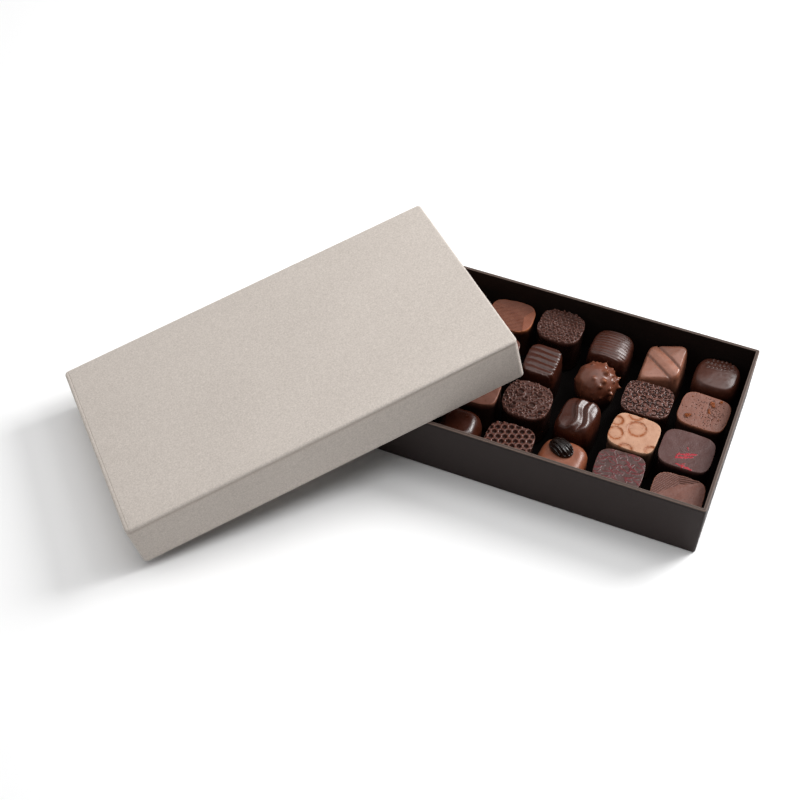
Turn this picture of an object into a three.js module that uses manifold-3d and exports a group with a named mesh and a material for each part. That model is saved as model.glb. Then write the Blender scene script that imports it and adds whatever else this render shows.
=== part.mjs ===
// Box of chocolate pralines: a paper-covered tray of pralines with its lift-off lid leaning on it.
// Millimetres, +Z up. The origin is the centre of the tray's underside, +X runs along the tray's length.
import * as THREE from 'three';
import { mergeVertices } from 'three/addons/utils/BufferGeometryUtils.js';
import Module from 'manifold-3d';

const wasm = await Module();
wasm.setup();

// Tray and lid
const trayLength = 220.4;
const trayWidth = 120;
const trayHeight = 37.6;
const trayFloor = 2.2;
const boardThickness = 2;
const lidClearance = 0.3;
const lidHeight = 29.6;
const lidRoof = 2;
const rimRound = 0.5;
const trayEdgeRound = 0.7;
const lidEdgeRound = 1.2;
const foldSegments = 3;
const lidLength = trayLength + 2 * (boardThickness + lidClearance);
const lidWidth = trayWidth + 2 * (boardThickness + lidClearance);

// How the lid leans: the corner that stands on the table, and the way its long side points in plan
const lidFoot = new THREE.Vector2(-243.2, -94.7);
const lidHeading = THREE.MathUtils.degToRad(47.24);
const contactGap = 0.3;

// Pralines stand in a grid of columns, counted from the right, and rows, counted from the back
const firstColumn = 92;
const columnPitch = 30.9;
const rowPitch = 29;
const rowCount = 4;
const standGap = 0.3;
const blockSides = 24;
const squareCorner = 4;

// Flat pralines: their foot, their waist and the lip round their top
const footHeight = 2.4;
const lipDrop = 1.1;
const lipOverhang = 0.045;
const edgeSoftness = 0.985;
const printDepth = 0.35;
const crumbSquash = 0.6;
const pitPitch = 4;
const pitWidth = 3.3;
const pitDepth = 1.3;
const pitsPerSide = 6;

// Soft pralines: a short upright foot under the rounded sides
const softFoot = 1.2;
const rollSteps = 5;
const bandDepth = 1;
const bandHalfWidth = 4;
const waveThickness = 1.5;
const waveHalfWidth = 1.9;
const waveSway = 1.5;
const waveReach = 0.38;

// Pearls lie in bowed rows: place of the row, how many, and where it starts and ends
const pearlRadius = 1.15;
const pearlBow = 0.022;
const pearlSlant = 0.2;
const pearlSink = 0.75;
const pearlRows = [
  { y: 9.7, pearls: 5, from: -4.6, to: 5 },
  { y: 6.4, pearls: 7, from: -7.6, to: 6.6 },
  { y: 3.1, pearls: 7, from: -6.6, to: 7.6 },
];

// Cut blocks: ridges along the block, slots round a barrel top
const blockFoot = 1.5;
const ridgeCount = 5;
const ridgeDepth = 1.1;
const archRise = 3.6;
const archSteps = 10;
const slotCount = 7;
const slotWidth = 0.8;
const slotDepth = 0.6;
const slotSpread = 0.86;

// Round praline: its widest height as a share, its base and its soft thorns
const ballWaist = 0.56;
const ballBase = 0.7;
const ballSteps = 8;
const ballSides = 20;
const thornCount = 46;
const thornLength = 2.6;
const thornRadius = 1.5;

// Coffee bean, lying on a milk praline
const beanLength = 13;
const beanWidth = 9.4;
const beanHeight = 4.4;
const beanSeat = 23.8;
const beanTurn = -24;
const beanPlace = new THREE.Vector2(27.4, -40.6);
const beanSteps = 5;
const beanUndercut = 0.12;
const slitRadius = 0.5;

// Unevenness of the pralines that are placed by chance
const unevenSeed = 7;
const unevenShift = 0.8;
const unevenTurn = 6;

const looks = {
  tray: { color: 0x2a2523, roughness: 0.6 },
  lid: { color: 0xcdc4ba, roughness: 0.7 },
  dark: { color: 0x2c1a15, roughness: 0.5 },
  darkGloss: { color: 0x2a1813, roughness: 0.28 },
  milk: { color: 0x6b3f2f, roughness: 0.55 },
  milkGloss: { color: 0x7a4a35, roughness: 0.32 },
  blonde: { color: 0xc8956a, roughness: 0.5 },
  bean: { color: 0x1a100d, roughness: 0.3 },
};

function namedMesh(name, geometry, look) {
  const mesh = new THREE.Mesh(geometry, new THREE.MeshStandardMaterial({ ...look, metalness: 0 }));
  mesh.name = name;
  return mesh;
}

// Small repeatable random numbers, so that every run gives the same uneven pralines
function randomSource(seed) {
  let state = seed;
  return () => {
    state = (state * 16807) % 2147483647;
    return state / 2147483647;
  };
}

// Merges shared corners and drops the empty triangles left on an axis
function weld(source) {
  const bare = source.clone();
  bare.deleteAttribute('normal');
  bare.deleteAttribute('uv');
  const merged = mergeVertices(bare, 1e-4);
  const kept = [];
  for (let i = 0; i < merged.index.count; i += 3) {
    const [a, b, c] = [0, 1, 2].map((k) => merged.index.getX(i + k));
    if (a !== b && b !== c && c !== a) kept.push(a, b, c);
  }
  merged.setIndex(kept);
  return merged;
}

function toSolid(geometry) {
  const welded = weld(geometry);
  const vertProperties = new Float32Array(welded.attributes.position.array);
  const triVerts = new Uint32Array(welded.index.array);
  return new wasm.Manifold(new wasm.Mesh({ numProp: 3, vertProperties, triVerts }));
}

function toGeometry(solid) {
  const mesh = solid.getMesh();
  const geometry = new THREE.BufferGeometry();
  geometry.setAttribute('position', new THREE.BufferAttribute(mesh.vertProperties, 3));
  geometry.setIndex(new THREE.BufferAttribute(mesh.triVerts, 1));
  geometry.computeVertexNormals();
  return geometry;
}

// Moves every vertex of a geometry by a rule
function reshape(geometry, rule) {
  const place = geometry.attributes.position;
  const point = new THREE.Vector3();
  for (let i = 0; i < place.count; i += 1) {
    point.fromBufferAttribute(place, i);
    rule(point);
    place.setXYZ(i, point.x, point.y, point.z);
  }
  geometry.computeVertexNormals();
  return geometry;
}

// A solid turned from a profile of [radius, height] pairs that starts and ends on the axis
function turned(profile, sides) {
  const points = profile.map(([radius, height]) => new THREE.Vector2(radius, height));
  return weld(new THREE.LatheGeometry(points, sides)).rotateX(Math.PI / 2);
}

// Presses a round solid of radius 1 into a rounded rectangle
function squared(geometry, width, depth, corner) {
  return reshape(geometry, (point) => {
    const radius = Math.hypot(point.x, point.y);
    if (radius < 1e-6) return;
    const along = point.x / radius;
    const across = point.y / radius;
    point.x = (radius * Math.sign(along) * Math.abs(along) ** (2 / corner) * width) / 2;
    point.y = (radius * Math.sign(across) * Math.abs(across) ** (2 / corner) * depth) / 2;
  });
}

// A long solid whose section lies in the XZ plane, centred on Y = 0
function runAlongY(outline, length) {
  const shape = new THREE.Shape(outline.map(([x, z]) => new THREE.Vector2(x, z)));
  const bar = new THREE.ExtrudeGeometry(shape, { depth: length, bevelEnabled: false });
  return toSolid(bar.translate(0, 0, -length / 2).rotateX(Math.PI / 2));
}

// A long solid whose section lies in the YZ plane, centred on X = 0
function runAlongX(outline, length) {
  return runAlongY(outline, length).rotate([0, 0, 90]);
}

// Upright block with one rounding on all its edges
function roundedBlock(length, width, low, high, round) {
  const outline = roundedRectangle(length - 2 * round, width - 2 * round, round);
  const block = new THREE.ExtrudeGeometry(outline, {
    depth: high - low - 2 * round,
    bevelEnabled: true,
    bevelThickness: round,
    bevelSize: round,
    bevelSegments: foldSegments,
    curveSegments: foldSegments,
  });
  return toSolid(block.translate(0, 0, low + round));
}

// Board box, open at the top: its rim and its base edges have their own rounding
function openBox(length, width, height, floor, baseRound) {
  const reach = 10;
  const base = roundedBlock(length, width, 0, height + reach, baseRound);
  const rim = roundedBlock(length, width, -reach, height, rimRound);
  const inside = new THREE.BoxGeometry(length - 2 * boardThickness, width - 2 * boardThickness, height);
  inside.translate(0, 0, floor + height / 2);
  return base.intersect(rim).subtract(toSolid(inside));
}

function roundedRectangle(length, width, radius) {
  const x = length / 2;
  const y = width / 2;
  const shape = new THREE.Shape();
  shape.moveTo(-x + radius, -y);
  shape.lineTo(x - radius, -y);
  shape.absarc(x - radius, -y + radius, radius, -Math.PI / 2, 0);
  shape.lineTo(x, y - radius);
  shape.absarc(x - radius, y - radius, radius, 0, Math.PI / 2);
  shape.lineTo(-x + radius, y);
  shape.absarc(-x + radius, y - radius, radius, Math.PI / 2, Math.PI);
  shape.lineTo(-x, -y + radius);
  shape.absarc(-x + radius, -y + radius, radius, Math.PI, Math.PI * 1.5);
  return shape;
}

function makeTray() {
  const box = openBox(trayLength, trayWidth, trayHeight, trayFloor, trayEdgeRound);
  return namedMesh('tray', toGeometry(box), looks.tray);
}

// The lid is an open box too, made mouth up and turned over
function makeLid() {
  const box = openBox(lidLength, lidWidth, lidHeight, lidRoof, lidEdgeRound);
  const geometry = toGeometry(box).rotateX(Math.PI).translate(0, 0, lidHeight);
  return namedMesh('lid', geometry, looks.lid);
}

// The lid rests on three points: one corner on the table, its front wall on the tray's front rim
// and its back wall on the tray's left rim. Each round tilts it to the points found in the last.
function leanLid(group) {
  const rounds = 12;
  const heading = new THREE.Vector3(Math.cos(lidHeading), Math.sin(lidHeading), 0);
  const normal = new THREE.Vector3(0, 0, 1);
  const foot = new THREE.Vector3(lidFoot.x, lidFoot.y, 0);
  const footInLid = new THREE.Vector3(-lidLength / 2, lidWidth / 2, 0);
  const turn = new THREE.Matrix4();
  const rim = trayHeight + contactGap;
  for (let round = 0; round < rounds; round += 1) {
    const along = heading.clone().setZ(-heading.dot(normal) / normal.z).normalize();
    const across = new THREE.Vector3().crossVectors(normal, along);
    turn.makeBasis(along, across, normal);
    const centre = foot.clone().sub(footInLid.clone().applyMatrix4(turn));
    const inside = across.clone().multiplyScalar(lidWidth / 2 - boardThickness);
    const front = centre.clone().sub(inside);
    const back = centre.clone().add(inside);
    front.addScaledVector(along, (-trayWidth / 2 - front.y) / along.y).setZ(rim);
    back.addScaledVector(along, (-trayLength / 2 - back.x) / along.x).setZ(rim);
    normal.crossVectors(front.clone().sub(foot), back.clone().sub(foot)).normalize();
    group.position.copy(centre);
  }
  group.setRotationFromMatrix(turn);
}

// Flat-topped praline: a foot, slightly drawn-in sides and a thin lip round the top
function flatBody(size) {
  const waist = 1 - lipOverhang;
  const profile = [
    [0, 0],
    [edgeSoftness, 0],
    [waist, footHeight],
    [waist, size.height - lipDrop * 1.5],
    [1, size.height - lipDrop],
    [edgeSoftness, size.height],
    [0, size.height],
  ];
  return squared(turned(profile, blockSides), size.width, size.depth, size.corner);
}

// Soft praline: sides that round over into a gently domed top
function softBody(size) {
  const profile = [
    [0, 0],
    [1, 0],
    [1, softFoot],
  ];
  const shoulder = size.height - size.crown - size.roll;
  for (let i = 0; i <= rollSteps; i += 1) {
    const angle = (i / rollSteps) * (Math.PI / 2);
    const radius = size.inner + (edgeSoftness - size.inner) * Math.cos(angle);
    profile.push([radius, shoulder + size.roll * Math.sin(angle)]);
  }
  profile.push([0, size.height]);
  return squared(turned(profile, blockSides), size.width, size.depth, size.corner);
}

// Tapered block without relief, tall enough to be trimmed from above
function taperedBody(size) {
  const profile = [
    [0, 0],
    [1, 0],
    [1, blockFoot],
    [size.top, size.height + 1],
    [0, size.height + 1],
  ];
  return squared(turned(profile, blockSides), size.width, size.depth, size.corner);
}

const makers = {
  flat(size) {
    return flatBody(size);
  },

  pillow(size) {
    return softBody(size);
  },

  // Flat praline with chips of caramel pressed into its top
  crumbed(size) {
    let body = toSolid(flatBody(size));
    for (const [x, y, radius] of size.crumbs) {
      const crumb = new THREE.IcosahedronGeometry(radius).rotateZ(x).scale(1, 1, crumbSquash);
      body = body.add(toSolid(crumb.translate(x, y, size.height)));
    }
    return toGeometry(body);
  },

  // Soft pillow with bowed rows of pearls over its back half
  pearled(size) {
    let body = toSolid(softBody(size));
    for (const row of pearlRows) {
      for (let i = 0; i < row.pearls; i += 1) {
        const x = row.from + ((row.to - row.from) * i) / (row.pearls - 1);
        const y = row.y + pearlBow * x * x + pearlSlant * x;
        const z = size.height - pearlSink - size.fallAcross * x * x - size.fallBack * row.y * row.y;
        const pearl = new THREE.SphereGeometry(pearlRadius, 6, 4).rotateX(Math.PI / 2);
        body = body.add(toSolid(pearl.translate(x, y, z)));
      }
    }
    return toGeometry(body);
  },

  // Square block with a raised diagonal band, its top rising towards one corner
  banded(size) {
    let body = toSolid(softBody(size));
    for (const side of [-1, 1]) {
      const groove = new THREE.CylinderGeometry(bandDepth, bandDepth, 60, 6);
      groove.translate(side * bandHalfWidth, 0, size.height);
      groove.rotateZ(THREE.MathUtils.degToRad(size.bandTurn));
      body = body.subtract(toSolid(groove));
    }
    return reshape(toGeometry(body), (point) => {
      const share = point.z / size.height;
      point.z += share * share * (size.rise * (point.x + point.y)) / (size.width + size.depth);
      point.x *= 1 - size.taper * share;
      point.y *= 1 - size.taper * share;
    });
  },

  // Barrel-topped block with narrow slots that run round the barrel
  slotted(size) {
    const half = size.width / 2 + 1;
    const arch = (drop) => {
      const outline = [
        [-half, -1],
        [half, -1],
      ];
      for (let i = 0; i <= archSteps; i += 1) {
        const x = half - (2 * half * i) / archSteps;
        outline.push([x, size.height - drop - (archRise * x * x) / (half * half)]);
      }
      return runAlongY(outline, size.depth * 2);
    };
    let slots = null;
    for (let i = 0; i < slotCount; i += 1) {
      const slab = new THREE.BoxGeometry(size.width * 2, slotWidth, size.height * 3);
      slab.translate(0, size.depth * slotSpread * ((i + 0.5) / slotCount - 0.5), 0);
      slots = slots ? slots.add(toSolid(slab)) : toSolid(slab);
    }
    const body = toSolid(taperedBody(size)).intersect(arch(0));
    return toGeometry(body.subtract(slots.subtract(arch(slotDepth))));
  },

  // Tall block whose top is a row of rounded ridges
  ridged(size) {
    const reach = size.depth / 2 + 1;
    const shoulder = size.height - ridgeDepth * 3;
    const outline = [
      [-reach, -1],
      [reach, -1],
      [reach, shoulder],
    ];
    const topReach = (size.depth * size.top) / 2;
    const steps = 4 * ridgeCount;
    for (let i = 0; i <= steps; i += 1) {
      const share = 1 - i / steps;
      const wave = Math.abs(Math.sin(share * ridgeCount * Math.PI));
      const edge = Math.abs(2 * share - 1) ** 6;
      const y = topReach * (2 * share - 1);
      outline.push([y, size.height - ridgeDepth * (1 - wave) - edge]);
    }
    outline.push([-reach, shoulder]);
    const roof = runAlongX(outline, size.width * 2);
    return toGeometry(toSolid(taperedBody(size)).intersect(roof));
  },

  // Soft pillow with two S-shaped rolls lying side by side on it
  waved(size) {
    let body = toSolid(softBody(size));
    const section = new THREE.Shape();
    section.absellipse(0, 0, waveThickness, waveHalfWidth, 0, Math.PI * 2);
    for (const offset of size.waves) {
      const path = new THREE.CatmullRomCurve3(
        [-1, -0.5, 0, 0.5, 1].map((share) => {
          const x = offset + waveSway * Math.sin((share + 1) * Math.PI);
          const fall = size.waveFall * share * share + size.fallAcross * offset * offset;
          const z = size.height - size.waveSink - fall;
          return new THREE.Vector3(x, share * waveReach * size.depth, z);
        }),
      );
      const roll = new THREE.ExtrudeGeometry(section, {
        steps: 12,
        curveSegments: 5,
        extrudePath: path,
        bevelEnabled: false,
      });
      body = body.add(toSolid(roll));
    }
    return toGeometry(body);
  },

  // Flat praline with a grid of square pits
  pitted(size) {
    const body = toSolid(flatBody(size));
    let pits = null;
    const farthest = (Math.min(size.width, size.depth) - pitWidth) / 2;
    for (let column = 0; column < pitsPerSide; column += 1) {
      for (let row = 0; row < pitsPerSide; row += 1) {
        const x = (column - (pitsPerSide - 1) / 2) * pitPitch;
        const y = (row - (pitsPerSide - 1) / 2) * pitPitch;
        if (x ** size.corner + y ** size.corner > farthest ** size.corner) continue;
        const pit = new THREE.ConeGeometry(pitWidth / Math.SQRT2, pitDepth * 2, 4);
        pit.rotateX(-Math.PI / 2).rotateZ(Math.PI / 4);
        pit.translate(x, y, size.height);
        pits = pits ? pits.add(toSolid(pit)) : toSolid(pit);
      }
    }
    return toGeometry(body.subtract(pits));
  },

  // Flat praline with round shallow prints
  printed(size) {
    let body = toSolid(flatBody(size));
    for (const [x, y, radius] of size.prints) {
      const disc = new THREE.CylinderGeometry(radius, radius, printDepth * 2, 16);
      disc.rotateX(Math.PI / 2).translate(x, y, size.height);
      body = body.subtract(toSolid(disc));
    }
    return toGeometry(body);
  },

  // Round praline covered in short soft thorns
  thorned(size) {
    const middle = size.height * ballWaist;
    const start = -Math.acos(ballBase);
    const below = middle / Math.sin(-start);
    const profile = [[0, 0]];
    for (let i = 0; i <= ballSteps; i += 1) {
      const angle = start + (i / ballSteps) * (Math.PI / 2 - start);
      const rise = angle > 0 ? size.height - middle : below;
      const radius = i < ballSteps ? Math.cos(angle) : 0;
      profile.push([radius, middle + rise * Math.sin(angle)]);
    }
    let body = toSolid(squared(turned(profile, ballSides), size.width, size.depth, size.corner));
    const random = randomSource(size.seed);
    const golden = Math.PI * (3 - Math.sqrt(5));
    for (let i = 0; i < thornCount; i += 1) {
      const up = size.thornsFrom - ((size.thornsFrom - size.thornsTo) * i) / thornCount;
      const around = i * golden + 0.5 * (random() - 0.5);
      const level = Math.sqrt(1 - up * up);
      const out = new THREE.Vector3(level * Math.cos(around), level * Math.sin(around), up);
      const root = new THREE.Vector3(
        (out.x * size.width) / 2,
        (out.y * size.depth) / 2,
        middle + (up > 0 ? size.height - middle : middle) * up,
      );
      const thorn = new THREE.ConeGeometry(thornRadius, thornLength, 5);
      thorn.translate(0, thornLength * (0.1 + 0.2 * random()), 0);
      const lean = new THREE.Quaternion().setFromUnitVectors(new THREE.Vector3(0, 1, 0), out);
      thorn.applyQuaternion(lean).translate(root.x, root.y, root.z);
      body = body.add(toSolid(thorn));
    }
    return toGeometry(body);
  },
};

const usual = { width: 27, depth: 25, height: 22.6 };

// Sizes that belong to one shape. corner says how square the plan is, from 2, round, upwards.
const ofShape = {
  flat: { corner: squareCorner },
  crumbed: { corner: squareCorner },
  printed: { corner: squareCorner },
  pitted: { corner: squareCorner },
  pillow: { corner: 3.4, roll: 8, crown: 0.8, inner: 0.62 },
  pearled: { corner: 3.4, roll: 7.4, crown: 0.8, inner: 0.62, fallAcross: 0.019, fallBack: 0.012 },
  banded: { corner: 6, roll: 3, crown: 0.5, inner: 0.84, rise: 11, taper: 0.12, bandTurn: 48 },
  waved: { corner: 3.4, roll: 7, crown: 0.8, inner: 0.7, waveSink: 0.9, waveFall: 0.87, fallAcross: 0.02 },
  slotted: { corner: squareCorner, top: 0.93 },
  ridged: { corner: squareCorner, top: 0.82 },
  thorned: { corner: 2.4, thornsFrom: 0.93, thornsTo: -0.12 },
};

// Chips of caramel and round prints, each with its place on the praline and its radius
const crumbs = [
  [2.6, 7.1, 1.1],
  [-7.9, -6.5, 1.2],
  [2.7, 0.2, 0.9],
  [6.9, 10.2, 0.9],
  [-3.4, 3.6, 0.6],
  [8.8, -3.1, 0.7],
  [-8.8, 8.2, 0.6],
];
const prints = [
  [0.5, 3.6, 5.4],
  [-9.4, -3.6, 4.4],
  [1, -12, 3.8],
  [-4.6, 12.6, 4.4],
];

// What stands where: shape, chocolate, name where it isn't the shape's, size where it isn't the
// usual one, shift from the grid and turn in degrees
const pralines = [
  [
    { shape: 'pearled', of: 'darkGloss', width: 26.4, depth: 25.4, height: 24.2, shift: [0, 1.4], turn: 0 },
    { shape: 'crumbed', of: 'milk', width: 28, shift: [-0.2, 0.6], turn: -2, crumbs },
    { shape: 'flat', of: 'dark', name: 'streaked', width: 29.6, depth: 26.2, shift: [-1.9, -0.4], turn: -1 },
    { shape: 'flat', of: 'milk', name: 'hatched', width: 28.4, depth: 25.4, shift: [0.9, -1.3], turn: 2 },
  ],
  [
    { shape: 'banded', of: 'milkGloss', width: 25.5, depth: 26, shift: [0.2, -0.4], turn: 9 },
    {
      shape: 'flat', of: 'dark', name: 'ringed', width: 28.2, depth: 24, height: 21.6,
      shift: [-0.7, -1.4], turn: 1,
    },
    { shape: 'printed', of: 'blonde', depth: 24.4, height: 24.4, shift: [-0.4, -1], turn: -3, prints },
    {
      shape: 'flat', of: 'dark', name: 'marbled', depth: 24.6, height: 23.1,
      shift: [-1.1, 2.2], turn: 3,
    },
  ],
  [
    { shape: 'slotted', of: 'darkGloss', width: 25, depth: 23, height: 24.4, shift: [0.1, -0.4], turn: -3 },
    {
      shape: 'thorned', of: 'milkGloss', width: 24.4, depth: 24, height: 27.4,
      shift: [-0.8, 3.4], turn: 0, seed: 11,
    },
    {
      shape: 'waved', of: 'darkGloss', width: 22.4, depth: 27, height: 23,
      shift: [-1.9, 1.8], turn: -4, waves: [0.2, 5.4],
    },
    {
      shape: 'pillow', of: 'milkGloss', width: 26.4, depth: 25.4, height: beanSeat,
      shift: [-1, -0.9], turn: -3, roll: 2.6, inner: 0.84,
    },
  ],
  [
    {
      shape: 'flat', of: 'dark', name: 'stippled', width: 26.8, depth: 24.8, height: 24.4,
      shift: [-0.4, 1.4], turn: -2, corner: 3,
    },
    { shape: 'ridged', of: 'darkGloss', width: 22, depth: 25.4, height: 25, shift: [-2, 1.8], turn: 1 },
    {
      shape: 'flat', of: 'dark', name: 'bubbled', width: 27.6, depth: 26.8,
      shift: [-0.4, 0.8], turn: 0, corner: 2.8,
    },
    { shape: 'pitted', of: 'dark', depth: 25.4, height: 21.4, shift: [-0.6, -1.1], turn: 1 },
  ],
  [
    { shape: 'flat', of: 'milk', name: 'hatched', depth: 23.6, shift: [0.5, 0.6], turn: 4 },
    { shape: 'flat', of: 'dark', name: 'plain', width: 26.6, shift: [0.4, 0.8], turn: -3 },
    { shape: 'flat', of: 'milk', name: 'plain', width: 27.4, shift: [0.6, -0.6], turn: 5 },
    { shape: 'pillow', of: 'darkGloss', width: 24.8, depth: 26, height: 22.4, shift: [0.6, 1.2], turn: 2 },
  ],
  [
    { shape: 'flat', of: 'blonde', name: 'plain' },
    { shape: 'pillow', of: 'milkGloss', width: 26.4, depth: 25.4, height: 22.2, roll: 4, inner: 0.78 },
    { shape: 'flat', of: 'dark', name: 'marbled', width: 27.2 },
    { shape: 'crumbed', of: 'milk', width: 27.6, crumbs },
  ],
  [
    { shape: 'flat', of: 'dark', name: 'ringed', width: 27.4, depth: 24.6 },
    { shape: 'flat', of: 'milk', name: 'hatched' },
    { shape: 'pillow', of: 'darkGloss', width: 25.6, depth: 25.6, height: 22.8 },
    { shape: 'ridged', of: 'darkGloss', width: 23, height: 23.6, top: 0.84 },
  ],
];

function makePralines(group) {
  const random = randomSource(unevenSeed);
  pralines.forEach((column, columnIndex) => {
    column.forEach((praline, rowIndex) => {
      const size = { ...usual, ...ofShape[praline.shape], ...praline };
      const name = `${praline.name ?? praline.shape}_c${columnIndex + 1}r${rowIndex + 1}`;
      const mesh = namedMesh(name, makers[praline.shape](size), looks[praline.of]);
      const chance = [unevenShift, unevenShift, unevenTurn].map((range) => range * (random() - 0.5));
      const shift = praline.shift ?? chance;
      mesh.position.set(
        firstColumn - columnIndex * columnPitch + shift[0],
        ((rowCount - 1) / 2 - rowIndex) * rowPitch + shift[1],
        trayFloor + standGap,
      );
      mesh.rotation.z = THREE.MathUtils.degToRad(praline.turn ?? chance[2]);
      group.add(mesh);
    });
  });
}

// Coffee bean: half an egg with a bent slit along its back, lying on a milk praline
function makeBean(group) {
  const profile = [
    [0, 0],
    [1 - beanUndercut, 0],
  ];
  for (let i = 0; i <= beanSteps; i += 1) {
    const angle = beanUndercut + (i / beanSteps) * (Math.PI / 2 - beanUndercut);
    const radius = i < beanSteps ? Math.cos(angle) : 0;
    profile.push([radius, beanHeight * Math.sin(angle)]);
  }
  const egg = squared(turned(profile, ballSides), beanLength, beanWidth, 2);
  const slitPath = new THREE.CatmullRomCurve3(
    [-1, -0.45, 0.45, 1].map((share) => {
      const high = beanHeight * (1.07 - 0.57 * share * share);
      return new THREE.Vector3(share * beanLength * 0.56, -slitRadius * Math.sign(share), high);
    }),
  );
  const slit = new THREE.Shape();
  slit.absellipse(0, 0, slitRadius, slitRadius, 0, Math.PI * 2);
  const cutter = new THREE.ExtrudeGeometry(slit, {
    steps: 12,
    curveSegments: 3,
    extrudePath: slitPath,
    bevelEnabled: false,
  });
  const cut = toGeometry(toSolid(egg).subtract(toSolid(cutter)));
  const mesh = namedMesh('coffee_bean', cut, looks.bean);
  mesh.position.set(beanPlace.x, beanPlace.y, trayFloor + 2 * standGap + beanSeat);
  mesh.rotation.z = THREE.MathUtils.degToRad(beanTurn);
  group.add(mesh);
}

const group = new THREE.Group();
const lidGroup = new THREE.Group();
lidGroup.add(makeLid());
leanLid(lidGroup);
group.add(makeTray());
group.add(lidGroup);
makePralines(group);
makeBean(group);

export default group;
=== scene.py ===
import math
import random

import bmesh
import bpy
import numpy as np
from mathutils import Matrix, Vector, noise


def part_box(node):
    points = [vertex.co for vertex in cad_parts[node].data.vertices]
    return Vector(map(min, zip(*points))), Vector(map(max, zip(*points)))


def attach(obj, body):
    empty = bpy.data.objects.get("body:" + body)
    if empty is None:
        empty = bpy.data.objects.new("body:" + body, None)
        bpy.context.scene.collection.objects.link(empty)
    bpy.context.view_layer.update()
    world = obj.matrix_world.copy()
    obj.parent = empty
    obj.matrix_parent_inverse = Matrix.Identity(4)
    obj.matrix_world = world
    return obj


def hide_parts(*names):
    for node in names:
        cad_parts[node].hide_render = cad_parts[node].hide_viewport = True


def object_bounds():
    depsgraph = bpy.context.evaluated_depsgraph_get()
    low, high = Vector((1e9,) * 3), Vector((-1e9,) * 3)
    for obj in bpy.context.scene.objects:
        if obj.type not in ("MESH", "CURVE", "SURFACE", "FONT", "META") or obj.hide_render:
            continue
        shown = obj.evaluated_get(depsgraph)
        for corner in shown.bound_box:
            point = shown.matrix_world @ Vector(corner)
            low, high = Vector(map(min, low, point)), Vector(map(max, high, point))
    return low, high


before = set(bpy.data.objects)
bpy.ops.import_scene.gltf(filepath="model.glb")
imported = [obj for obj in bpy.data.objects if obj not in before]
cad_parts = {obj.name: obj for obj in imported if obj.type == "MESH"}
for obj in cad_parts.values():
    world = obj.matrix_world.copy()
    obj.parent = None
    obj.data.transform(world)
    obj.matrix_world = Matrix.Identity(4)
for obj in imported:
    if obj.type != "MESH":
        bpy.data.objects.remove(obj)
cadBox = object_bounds()
mm = 0.001  # pieces are in millimetres; camera, lights and the materials' bump in metres
# In functions, v is the dictionary of values of the piece, finish or relief they make

# Camera: where the photo was taken from
cameraView = {
    "place": (0.12331, -0.48570, 0.59973),
    "yaw": 23.122,  # degrees to the left of +Y
    "down": 49.933,
    "roll": -0.517,
    "lens": 60.724,
    "sensor": 36.0,
}


def newObject(name, data):
    made = bpy.data.objects.new(name, data)
    bpy.context.scene.collection.objects.link(made)
    return made


def addCamera(v):
    yaw, down, roll = (math.radians(v[k]) for k in ("yaw", "down", "roll"))
    right = Vector((math.cos(yaw), math.sin(yaw), 0))
    ahead = Vector((-math.sin(yaw) * math.cos(down), math.cos(yaw) * math.cos(down), -math.sin(down)))
    up = right.cross(ahead)
    side = right * math.cos(roll) + up * math.sin(roll)
    top = up * math.cos(roll) - right * math.sin(roll)
    data = bpy.data.cameras.new("photoCamera")
    data.lens = v["lens"]
    data.sensor_width = v["sensor"]
    camera = newObject("photoCamera", data)
    turn = Matrix((side, top, -ahead)).transposed()
    camera.matrix_world = Matrix.Translation(v["place"]) @ turn.to_4x4()
    bpy.context.scene.camera = camera


addCamera(cameraView)
print("camera placed")

# Helpers for shader nodes: a socket takes a constant or another socket
def feedSocket(tree, socket, value):
    if isinstance(value, bpy.types.NodeSocket):
        tree.links.new(value, socket)
    else:
        socket.default_value = (*value, 1) if isinstance(value, tuple) else value


def feed(tree, node, **values):
    for name, value in values.items():
        feedSocket(tree, node.inputs[name.replace("_", " ")], value)


def addNode(tree, kind):
    return tree.nodes.new("ShaderNode" + kind)


# Studio: white floor, a key from the back right, a small light high on the right, a wide one above, and
# surroundings that are bright on the left only
studio = {
    "floorSize": 8.0, "floorDrop": 0.0002, "floorColour": (0.93, 0.93, 0.93),
    "floorRoughness": 0.9, "floorSpecular": 0.1,
    "skyLeft": 0.84, "skyRest": 0.16, "skyToward": (-0.97, -0.1, 0.15), "skyEdge": 0.3,
    "keyFrom": (0.58, 0.66, 0.62), "keyDistance": 1.2, "keySize": 0.54, "keyPower": 14.0,
    "highFrom": (0.46, 0.26, 0.85), "highDistance": 1.3, "highSize": 0.4, "highPower": 2.4,
    "topPlace": (0.0, 0.12, 2.0), "topSize": 2.2, "topPower": 20.0,
}


def aimedLight(name, place, target, size, power):
    data = bpy.data.lights.new(name, "AREA")
    data.shape = "DISK"
    data.size = size
    data.energy = power
    light = newObject(name, data)
    away = Vector(place) - Vector(target)
    light.rotation_euler = away.to_track_quat("Z", "Y").to_euler()
    light.location = place


def addSky(v):
    world = bpy.data.worlds.new("studioWorld")
    world.use_nodes = True
    tree = world.node_tree
    coordinates = addNode(tree, "TexCoord")
    toward = addNode(tree, "VectorMath")
    toward.operation = "DOT_PRODUCT"
    toward.inputs[1].default_value = Vector(v["skyToward"]).normalized()
    tree.links.new(coordinates.outputs["Generated"], toward.inputs[0])
    share = addNode(tree, "MapRange")
    share.interpolation_type = "SMOOTHSTEP"
    feed(tree, share, From_Min=v["skyEdge"], To_Min=v["skyRest"], To_Max=v["skyLeft"])
    feed(tree, share, Value=toward.outputs["Value"])
    feed(tree, tree.nodes["Background"], Color=(1, 1, 1), Strength=share.outputs["Result"])
    bpy.context.scene.world = world


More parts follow.
